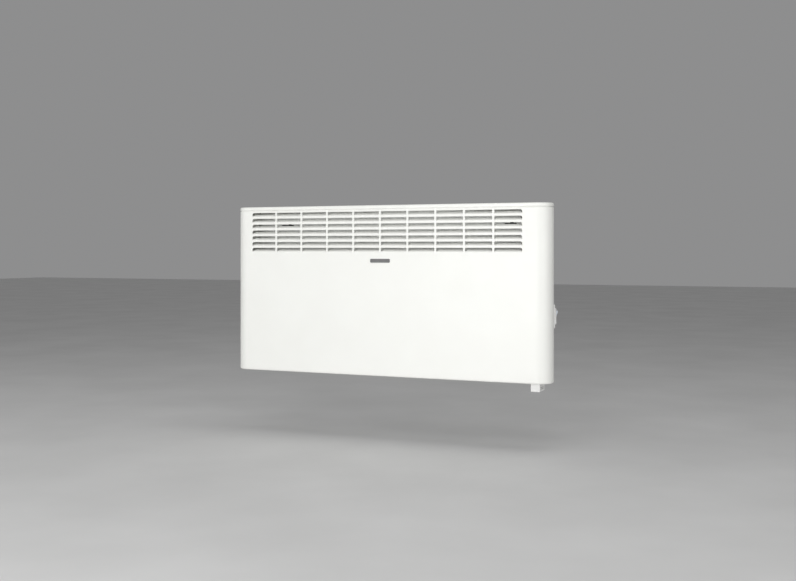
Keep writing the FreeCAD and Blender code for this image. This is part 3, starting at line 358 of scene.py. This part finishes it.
MATERIALS = {
    "casing_white": powder_coat(
        "casing_white", (0.880, 0.885, 0.850), (0.865, 0.868, 0.832), 0.42
    ),
    "panel_white": powder_coat("panel_white", (0.90, 0.905, 0.885), (0.87, 0.875, 0.855), 0.5),
    "rail_dark": painted_dark("rail_dark", (0.030, 0.034, 0.042), (0.016, 0.018, 0.022)),
    "badge_grey": moulded_plastic("badge_grey", (0.17, 0.17, 0.17), (0.13, 0.13, 0.13), 0.45),
    "switch_plastic": moulded_plastic(
        "switch_plastic", (0.86, 0.86, 0.845), (0.82, 0.82, 0.805), 0.46
    ),
    # Rocker: light grey plastic; the bluish tint of its colour is a painted reflection of cool sky light
    "rocker_plastic": moulded_plastic(
        "rocker_plastic", (0.60, 0.64, 0.69), (0.56, 0.60, 0.65), 0.28, 0.00001
    ),
    "dial_plastic": moulded_plastic(
        "dial_plastic", (0.66, 0.67, 0.66), (0.60, 0.61, 0.60), 0.44
    ),
    "dark_plastic": moulded_plastic(
        "dark_plastic", (0.035, 0.035, 0.037), (0.022, 0.022, 0.024), 0.5
    ),
    "wheel_grey": moulded_plastic(
        "wheel_grey", (0.060, 0.062, 0.066), (0.042, 0.044, 0.048), 0.5
    ),
    "lead_brown": moulded_plastic(
        "lead_brown", (0.115, 0.045, 0.018), (0.085, 0.032, 0.012), 0.45
    ),
    "lead_blue": moulded_plastic(
        "lead_blue", (0.025, 0.085, 0.300), (0.018, 0.062, 0.230), 0.45
    ),
    "lead_earth": striped_lead("lead_earth"),
    "rubber": rubber("rubber"),
    "steel_zinc": zinc_plate("steel_zinc", (0.62, 0.62, 0.60), (0.44, 0.44, 0.42)),
    "steel_tube": heat_tinted("steel_tube"),
    "aluminium": bare_sheet("aluminium", (0.74, 0.75, 0.76), (0.60, 0.61, 0.62)),
    "ceramic": ceramic("ceramic"),
    "brass": bare_metal("brass", (0.68, 0.50, 0.20), (0.50, 0.34, 0.12), 0.32),
    "copper": bare_metal("copper", (0.72, 0.36, 0.20), (0.50, 0.22, 0.11), 0.34),
    "laminations": laminations("laminations"),
    "winding": winding("winding"),
}
SLOTS = {part["node"]: part["material_slot"] for part in frame["record"]["subparts"]}


# ---- Mesh helpers -----------------------------------------------------------
def smooth_by_angle(mesh, degrees):
    """Smooth shading, broken at edges that turn by more than the angle."""
    for face in mesh.polygons:
        face.use_smooth = True
    mesh.set_sharp_from_angle(angle=math.radians(degrees))


def add_bevel(piece, width, degrees):
    """Round every edge that turns by more than the angle."""
    bevel = piece.modifiers.new("edges", "BEVEL")
    bevel.width = width
    bevel.segments = 2
    bevel.limit_method = "ANGLE"
    bevel.angle_limit = math.radians(degrees)


def weigh_normals(piece):
    """Keep large flat faces evenly shaded beside small rounded ones."""
    normals = piece.modifiers.new("normals", "WEIGHTED_NORMAL")
    normals.keep_sharp = True


def add_sheet(piece, thickness):
    """Thicken a surface inwards into a sheet. Returns the modifier."""
    solidify = piece.modifiers.new("sheet", "SOLIDIFY")
    solidify.thickness = thickness
    solidify.offset = -1.0
    return solidify


def piece_from(mesh_data, name, nodes):
    """Object from a bmesh: it replaces the heater's named nodes and takes their finish."""
    mesh = bpy.data.meshes.new(name)
    bmesh.ops.recalc_face_normals(mesh_data, faces=mesh_data.faces)
    mesh_data.to_mesh(mesh)
    mesh_data.free()
    smooth_by_angle(mesh, SKIN_CREASE)
    piece = bpy.data.objects.new(name, mesh)
    bpy.context.scene.collection.objects.link(piece)
    mesh.materials.append(MATERIALS[SLOTS[nodes[0]]])
    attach(piece, "heater")
    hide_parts(*nodes)
    return piece


def quarter_turn(steps):
    """Angles from nothing to a right angle, in equal steps."""
    return [math.pi / 2 * step / steps for step in range(steps + 1)]


def circle(data, centre, radius, z, steps):
    """Ring of vertices round an upright axis."""
    ring = []
    for step in range(steps):
        angle = 2 * math.pi * step / steps
        x = centre.x + radius * math.cos(angle)
        y = centre.y + radius * math.sin(angle)
        ring.append(data.verts.new((x, y, z)))
    return ring


def join_rings(data, first, second, left_out=()):
    """Faces between two closed rings of vertices, apart from the cells that are left out."""
    for index in range(len(first)):
        if index in left_out:
            continue
        after = (index + 1) % len(first)
        data.faces.new([first[index], first[after], second[after], second[index]])


def loop_edges(data, ring):
    """Edges of a closed ring of vertices, made where they are missing."""
    edges = []
    for index, vert in enumerate(ring):
        after = ring[(index + 1) % len(ring)]
        edges.append(data.edges.get((vert, after)) or data.edges.new((vert, after)))
    return edges


# ---- The casing's plan: a closed loop of stations ---------------------------
def right_corner_stations():
    """Base point and outward step of each station round the front right corner."""
    centre = Vector((HALF_W - CORNER_R, FRONT + CORNER_R))
    stations = []
    for step in range(ARC_STEPS + 1):
        angle = -math.pi / 2 + (RAKE + math.pi / 2) * step / ARC_STEPS
        outward = Vector((math.cos(angle), math.sin(angle)))
        stations.append((centre + outward * CORNER_R, outward))
    return stations


def right_side_stations(depths):
    """Stations down the raked side at the given depths, then the mitred rear corner."""
    start, outward = right_corner_stations()[-1]
    stations = [
        (Vector((start.x - (depth - start.y) * math.tan(RAKE), depth)), outward) for depth in depths
    ]
    rear_x = start.x - (REAR - start.y) * math.tan(RAKE)
    mitre = Vector(((1 - math.sin(RAKE)) / math.cos(RAKE), 1.0))
    stations.append((Vector((rear_x, REAR)), mitre))
    return stations


def mirrored(stations):
    """The same stations at the other end, in the opposite order."""
    return [
        (Vector((-base.x, base.y)), Vector((-outward.x, outward.y)))
        for base, outward in reversed(stations)
    ]


def plan_loop(front_xs, side_depths, rear_xs):
    """Stations anticlockwise from the front left: front, right end, rear, left end."""
    forwards = Vector((0, -1))
    backwards = Vector((0, 1))
    right = right_corner_stations() + right_side_stations(side_depths)
    front = [(Vector((x, FRONT)), forwards) for x in front_xs]
    rear = [(Vector((x, REAR)), backwards) for x in reversed(rear_xs)]
    return front + right + rear + mirrored(right)


def placed(station, inset, z):
    """Point at a station, set inwards and at a height."""
    base, outward = station
    flat = base - outward * inset
    return Vector((flat.x, flat.y, z))


# ---- Front casing -----------------------------------------------------------
def slot_spans():
    """Left and right X of each louvre column."""
    for column in range(COLUMNS):
        middle = GRILLE_X + (column - (COLUMNS - 1) / 2) * COLUMN_PITCH
        yield middle - SLOT_W / 2, middle + SLOT_W / 2


def front_lines():
    """X of every vertical mesh line on the flat front."""
    spans = list(slot_spans())
    xs = {INTAKE_LEFT, INTAKE_RIGHT, spans[0][0] + SLOT_CORNER_R, spans[-1][1] - SLOT_CORNER_R}
    for left, right in spans:
        xs.update((left, right))
    return sorted(xs)


def blade_steps():
    """Fractions of the blade's length above its root, up to its lip."""
    bend = BLADE_R * BLADE_TURN / (BLADE_R * BLADE_TURN + BLADE_RUN)
    curl = [bend * step / BEND_STEPS for step in range(1, BEND_STEPS + 1)]
    return curl + [bend + (1 - bend) * step / RUN_STEPS for step in range(1, RUN_STEPS + 1)]


def blade_section(fraction):
    """Depth behind the front and height above the slot's lower edge."""
    run = fraction * (BLADE_R * BLADE_TURN + BLADE_RUN)
    turn = min(run / BLADE_R, BLADE_TURN)
    straight = max(0.0, run - BLADE_R * BLADE_TURN)
    depth = BLADE_R * (1 - math.cos(turn)) + straight * math.sin(BLADE_TURN)
    height = BLADE_R * math.sin(turn) + straight * math.cos(BLADE_TURN)
    return depth, height


def casing_rows():
    """Mesh rows from top to bottom: (inset, z, what is left out of the sheet below the row)."""
    rows = []
    for angle in quarter_turn(EDGE_STEPS):
        inset = EDGE_R * (1 - math.sin(angle))
        rows.append((inset, CASING_TOP - EDGE_R * (1 - math.cos(angle)), ""))
    for row in range(ROWS):
        high = TOP - GRILLE_DROP - row * ROW_PITCH
        rows.append((0.0, high, "slots"))
        rows.append((0.0, high - SLOT_CORNER_R, "slots"))
        rows.append((0.0, high - SLOT_H, ""))
    rows.append((0.0, SWITCH_CENTRE.z + SWITCH_HOLE_HALF_H, "switch"))
    rows.append((0.0, SWITCH_CENTRE.z - SWITCH_HOLE_HALF_H, ""))
    rows.append((0.0, BASE + FLANGE, ""))
    for angle in quarter_turn(BOTTOM_STEPS)[:-1]:
        inset = BOTTOM_R * (1 - math.cos(angle))
        rows.append((inset, BASE + BOTTOM_R * (1 - math.sin(angle)), ""))
    rows.append((BOTTOM_R, BASE, "ends"))
    rows.append((FLANGE, BASE, ""))
    return rows


def add_blade(data, root, left, right):
    """Lanced louvre blade, rising inwards from its root vertices on the slot's lower edge."""
    places = [(vert.co.x - left) / (right - left) for vert in root]
    low = root[0].co.z
    below = root
    for fraction in blade_steps():
        depth, height = blade_section(fraction)
        start = left + BLADE_TRIM * depth
        width = right - left - 2 * BLADE_TRIM * depth
        line = [
            data.verts.new((start + width * place, FRONT + depth, low + height)) for place in places
        ]
        for index in range(len(line) - 1):
            data.faces.new([line[index], line[index + 1], below[index + 1], below[index]])
        below = line


def fill_corner(data, corner, beside, beneath):
    """Round an outer top corner of a slot.

    The vertices are the corner itself, the next one along the top edge and the next one down.
    """
    sign = 1 if beside.co.x > corner.co.x else -1
    arc = []
    for angle in quarter_turn(SLOT_CORNER_STEPS)[1:-1]:
        x = corner.co.x + sign * SLOT_CORNER_R * (1 - math.sin(angle))
        z = corner.co.z - SLOT_CORNER_R * (1 - math.cos(angle))
        arc.append(data.verts.new((x, corner.co.y, z)))
    data.faces.new([corner, beside, *arc, beneath])


def casing_skin():
    """The pressed front casing as one sheet, with its louvres lanced out of the flat front."""
    rear_half = right_side_stations([])[-1][0].x - FLANGE
    xs = front_lines()
    half_hole = SWITCH_HOLE_HALF_W * math.cos(RAKE)
    switch_lines = [SWITCH_CENTRE.y - half_hole, SWITCH_CENTRE.y + half_hole]
    loop = plan_loop(xs, switch_lines, [-rear_half, INTAKE_LEFT, INTAKE_RIGHT, rear_half])
    rows = casing_rows()
    spans = list(slot_spans())
    columns = [
        [index for index, x in enumerate(xs) if left - TOLERANCE < x < right + TOLERANCE]
        for left, right in spans
    ]
    switch_cell = len(xs) + ARC_STEPS + 1
    cut_cells = {
        "": set(),
        "slots": {index for column in columns for index in column[:-1]},
        "switch": {switch_cell},
        "ends": {index for index in range(len(loop)) if beyond_intake(loop, index)},
    }
    rear_corner = switch_cell + 2
    open_back = set(range(rear_corner + 1, rear_corner + 4))  # between the two rear flanges
    data = bmesh.new()
    grid = [
        [data.verts.new(placed(station, inset, z)) for station in loop] for inset, z, _ in rows
    ]
    for (_, z, cut), upper, lower in zip(rows, grid, grid[1:]):
        above_lip = z > BASE + FLANGE + TOLERANCE
        join_rings(data, upper, lower, cut_cells[cut] | (open_back if above_lip else set()))
    for number in range(1, len(rows)):
        before, here = rows[number - 1][2], rows[number][2]
        if here == "slots" and before != "slots":
            round_end_slots(data, columns, grid[number], grid[number + 1])
        if before == "slots" and here != "slots":
            for column, (left, right) in zip(columns, spans):
                add_blade(data, [grid[number][index] for index in column], left, right)
    end_plates(data, grid[-2], grid[-1])
    skin = piece_from(data, "casing_skin", CASING_NODES)
    add_sheet(skin, SHEET).use_even_offset = True
    add_bevel(skin, SHEET_EDGE, SHEET_BEVEL_CREASE)
    weigh_normals(skin)


def beyond_intake(loop, index):
    """Whether the cell after a station lies wholly to one side of the intake."""
    pair = (loop[index][0].x, loop[(index + 1) % len(loop)][0].x)
    return min(pair) >= INTAKE_RIGHT - TOLERANCE or max(pair) <= INTAKE_LEFT + TOLERANCE


def round_end_slots(data, columns, upper, lower):
    """Fill the outer top corners of a row's first and last slots."""
    first, last = columns[0], columns[-1]
    fill_corner(data, upper[first[0]], upper[first[1]], lower[first[0]])
    fill_corner(data, upper[last[-1]], upper[last[-2]], lower[last[-1]])


def end_plates(data, outer, inner):
    """Close the bottom beyond both ends of the intake, round the sensor's and gland's holes."""
    left, right = SENSOR_HOLE_X
    front, rear = SENSOR_HOLE_Y
    corners = [(left, front), (right, front), (right, rear), (left, rear)]
    sensor_hole = [data.verts.new((x, y, BASE)) for x, y in corners]
    gland_hole = circle(data, GLAND_CENTRE, GLAND_HOLE_R, BASE, GLAND_STEPS)
    plates = ((1, INTAKE_RIGHT, [sensor_hole, gland_hole]), (-1, -INTAKE_LEFT, []))
    for side, limit, holes in plates:
        ring = [vert for vert in outer if side * vert.co.x > limit - TOLERANCE]
        ring += [vert for vert in inner if abs(side * vert.co.x - limit) < TOLERANCE]
        middle = sum((vert.co for vert in ring), Vector()) / len(ring)
        ring.sort(key=lambda vert: math.atan2(vert.co.y - middle.y, vert.co.x - middle.x))
        edges = loop_edges(data, ring)
        for hole in holes:
            edges += loop_edges(data, hole)
        bmesh.ops.triangle_fill(data, edges=edges, use_beauty=True, use_dissolve=False)


# ---- Top cap ----------------------------------------------------------------
def top_cap_skin():
    """Cap with a soft top edge, a rolled lower edge, its tongue and the dial's well."""
    loop = plan_loop(CAP_LINES, [], CAP_LINES)
    rows = [(TONGUE_INSET, CAP_LOW.z), (TONGUE_INSET, CAP_SKIRT)]
    for angle in quarter_turn(EDGE_STEPS):
        rows.append((EDGE_R * (1 - math.sin(angle)), CAP_SKIRT + EDGE_R * (1 - math.cos(angle))))
    for angle in quarter_turn(CAP_STEPS):
        rows.append((CAP_R * (1 - math.cos(angle)), TOP - CAP_R * (1 - math.sin(angle))))
    data = bmesh.new()
    grid = [[data.verts.new(placed(station, inset, z)) for station in loop] for inset, z in rows]
    for lower, upper in zip(grid, grid[1:]):
        join_rings(data, lower, upper)
    well = dial_well(data)
    edges = loop_edges(data, grid[-1]) + loop_edges(data, well)
    bmesh.ops.triangle_fill(data, edges=edges, use_beauty=True, use_dissolve=False)
    skin = piece_from(data, "top_cap_skin", ["top_cap"])
    add_sheet(skin, CAP_SHEET)


def dial_well(data):
    """Round well with a rolled rim. Returns its top ring."""
    sections = []
    for angle in quarter_turn(WELL_RIM_STEPS):
        radius = WELL_R + WELL_RIM_R * (1 - math.sin(angle))
        sections.append((radius, TOP - WELL_RIM_R * (1 - math.cos(angle))))
    sections.append((WELL_R, TOP - WELL_DEPTH + WELL_CHAMFER))
    sections.append((WELL_R - WELL_CHAMFER, TOP - WELL_DEPTH))
    sections.append((WELL_HOLE_R, TOP - WELL_DEPTH))
    rings = [circle(data, DIAL_CENTRE, radius, z, WELL_STEPS) for radius, z in sections]
    for upper, lower in zip(rings, rings[1:]):
        join_rings(data, upper, lower)
    return rings[0]


# ---- CAD nodes that stay: finish and soft edges -----------------------------
WELD_REACH = 0.002 * MM
BEVELLED = {  # bevel width of each CAD node that gets one
    "rocker": 0.7 * MM,
    "switch_bezel": 0.3 * MM,
    "wall_rail": 0.6 * MM,
    "sensor_housing": 0.3 * MM,
    "terminal_block": 0.4 * MM,
    "badge": 0.25 * MM,
}


def finish_node(name, node):
    """Give a CAD node its material, smooth shading and, where it helps, bevelled edges."""
    node.data.materials.clear()
    node.data.materials.append(MATERIALS[SLOTS[name]])
    weld = node.modifiers.new("weld", "WELD")
    weld.merge_threshold = WELD_REACH
    if name in BEVELLED:
        add_bevel(node, BEVELLED[name], NODE_BEVEL_CREASE)
    smooth_by_angle(node.data, NODE_CREASE)
    weigh_normals(node)


for node_name, node_object in frame["nodes"].items():
    finish_node(node_name, node_object)

casing_skin()
top_cap_skin()


# ---- Stage: floor, lights and camera ----------------------------------------
def floor():
    """Flat square floor below the heater."""
    data = bmesh.new()
    bmesh.ops.create_grid(data, x_segments=8, y_segments=8, size=FLOOR_HALF)
    mesh = bpy.data.meshes.new("floor")
    data.to_mesh(mesh)
    data.free()
    plane = bpy.data.objects.new("floor", mesh)
    plane.location = (0, 0, BASE - FLOOR_DROP)
    bpy.context.scene.collection.objects.link(plane)
    mesh.materials.append(pale_floor("pale_floor"))


def area_light(name, place, aim, size, watts):
    """Rectangular lamp, turned to face a point."""
    lamp = bpy.data.lights.new(name, "AREA")
    lamp.shape = "RECTANGLE"
    lamp.size, lamp.size_y = size
    lamp.energy = watts
    holder = bpy.data.objects.new(name, lamp)
    holder.location = place
    holder.rotation_euler = (Vector(aim) - Vector(place)).to_track_quat("-Z", "Y").to_euler()
    bpy.context.scene.collection.objects.link(holder)


def world(colour):
    """Even light from all round."""
    scene_world = bpy.data.worlds.new("studio")
    scene_world.use_nodes = True
    background = scene_world.node_tree.nodes["Background"]
    background.inputs["Color"].default_value = (*colour, 1)
    background.inputs["Strength"].default_value = 1.0
    bpy.context.scene.world = scene_world


def camera():
    """Level camera to the right of the heater, looking back at it."""
    lens = bpy.data.cameras.new("camera")
    lens.sensor_width = FILM_WIDTH_MM
    lens.lens = LENS_MM
    lens.shift_y = LENS_SHIFT
    lens.clip_end = LENS_REACH
    holder = bpy.data.objects.new("camera", lens)
    holder.location = (CAMERA_RIGHT, FRONT - CAMERA_BACK, BASE + CAMERA_RISE)
    holder.rotation_euler = (math.radians(90), 0, CAMERA_TURN)
    bpy.context.scene.collection.objects.link(holder)
    bpy.context.scene.camera = holder


floor()
area_light("key", place=(0.5, -2.4, 1.7), aim=(0.1, 0, -0.1), size=(2.2, 1.2), watts=13.0)
area_light("front", place=(-0.1, -3.0, -0.15), aim=(0.4, 0, -0.15), size=(1.6, 0.7), watts=36.0)
area_light("side", place=(2.8, -1.8, 0.1), aim=(0.4, 0, -0.2), size=(1.6, 1.0), watts=23.0)
area_light("left", place=(-2.8, -1.5, 0.4), aim=(-0.4, 0, -0.2), size=(1.6, 1.2), watts=8.0)
area_light("top", place=(0.2, -0.4, 2.6), aim=(0, 0, -0.1), size=(3.0, 1.4), watts=14.0)
world(SKY)
camera()
bpy.context.scene.view_settings.view_transform = "Standard"
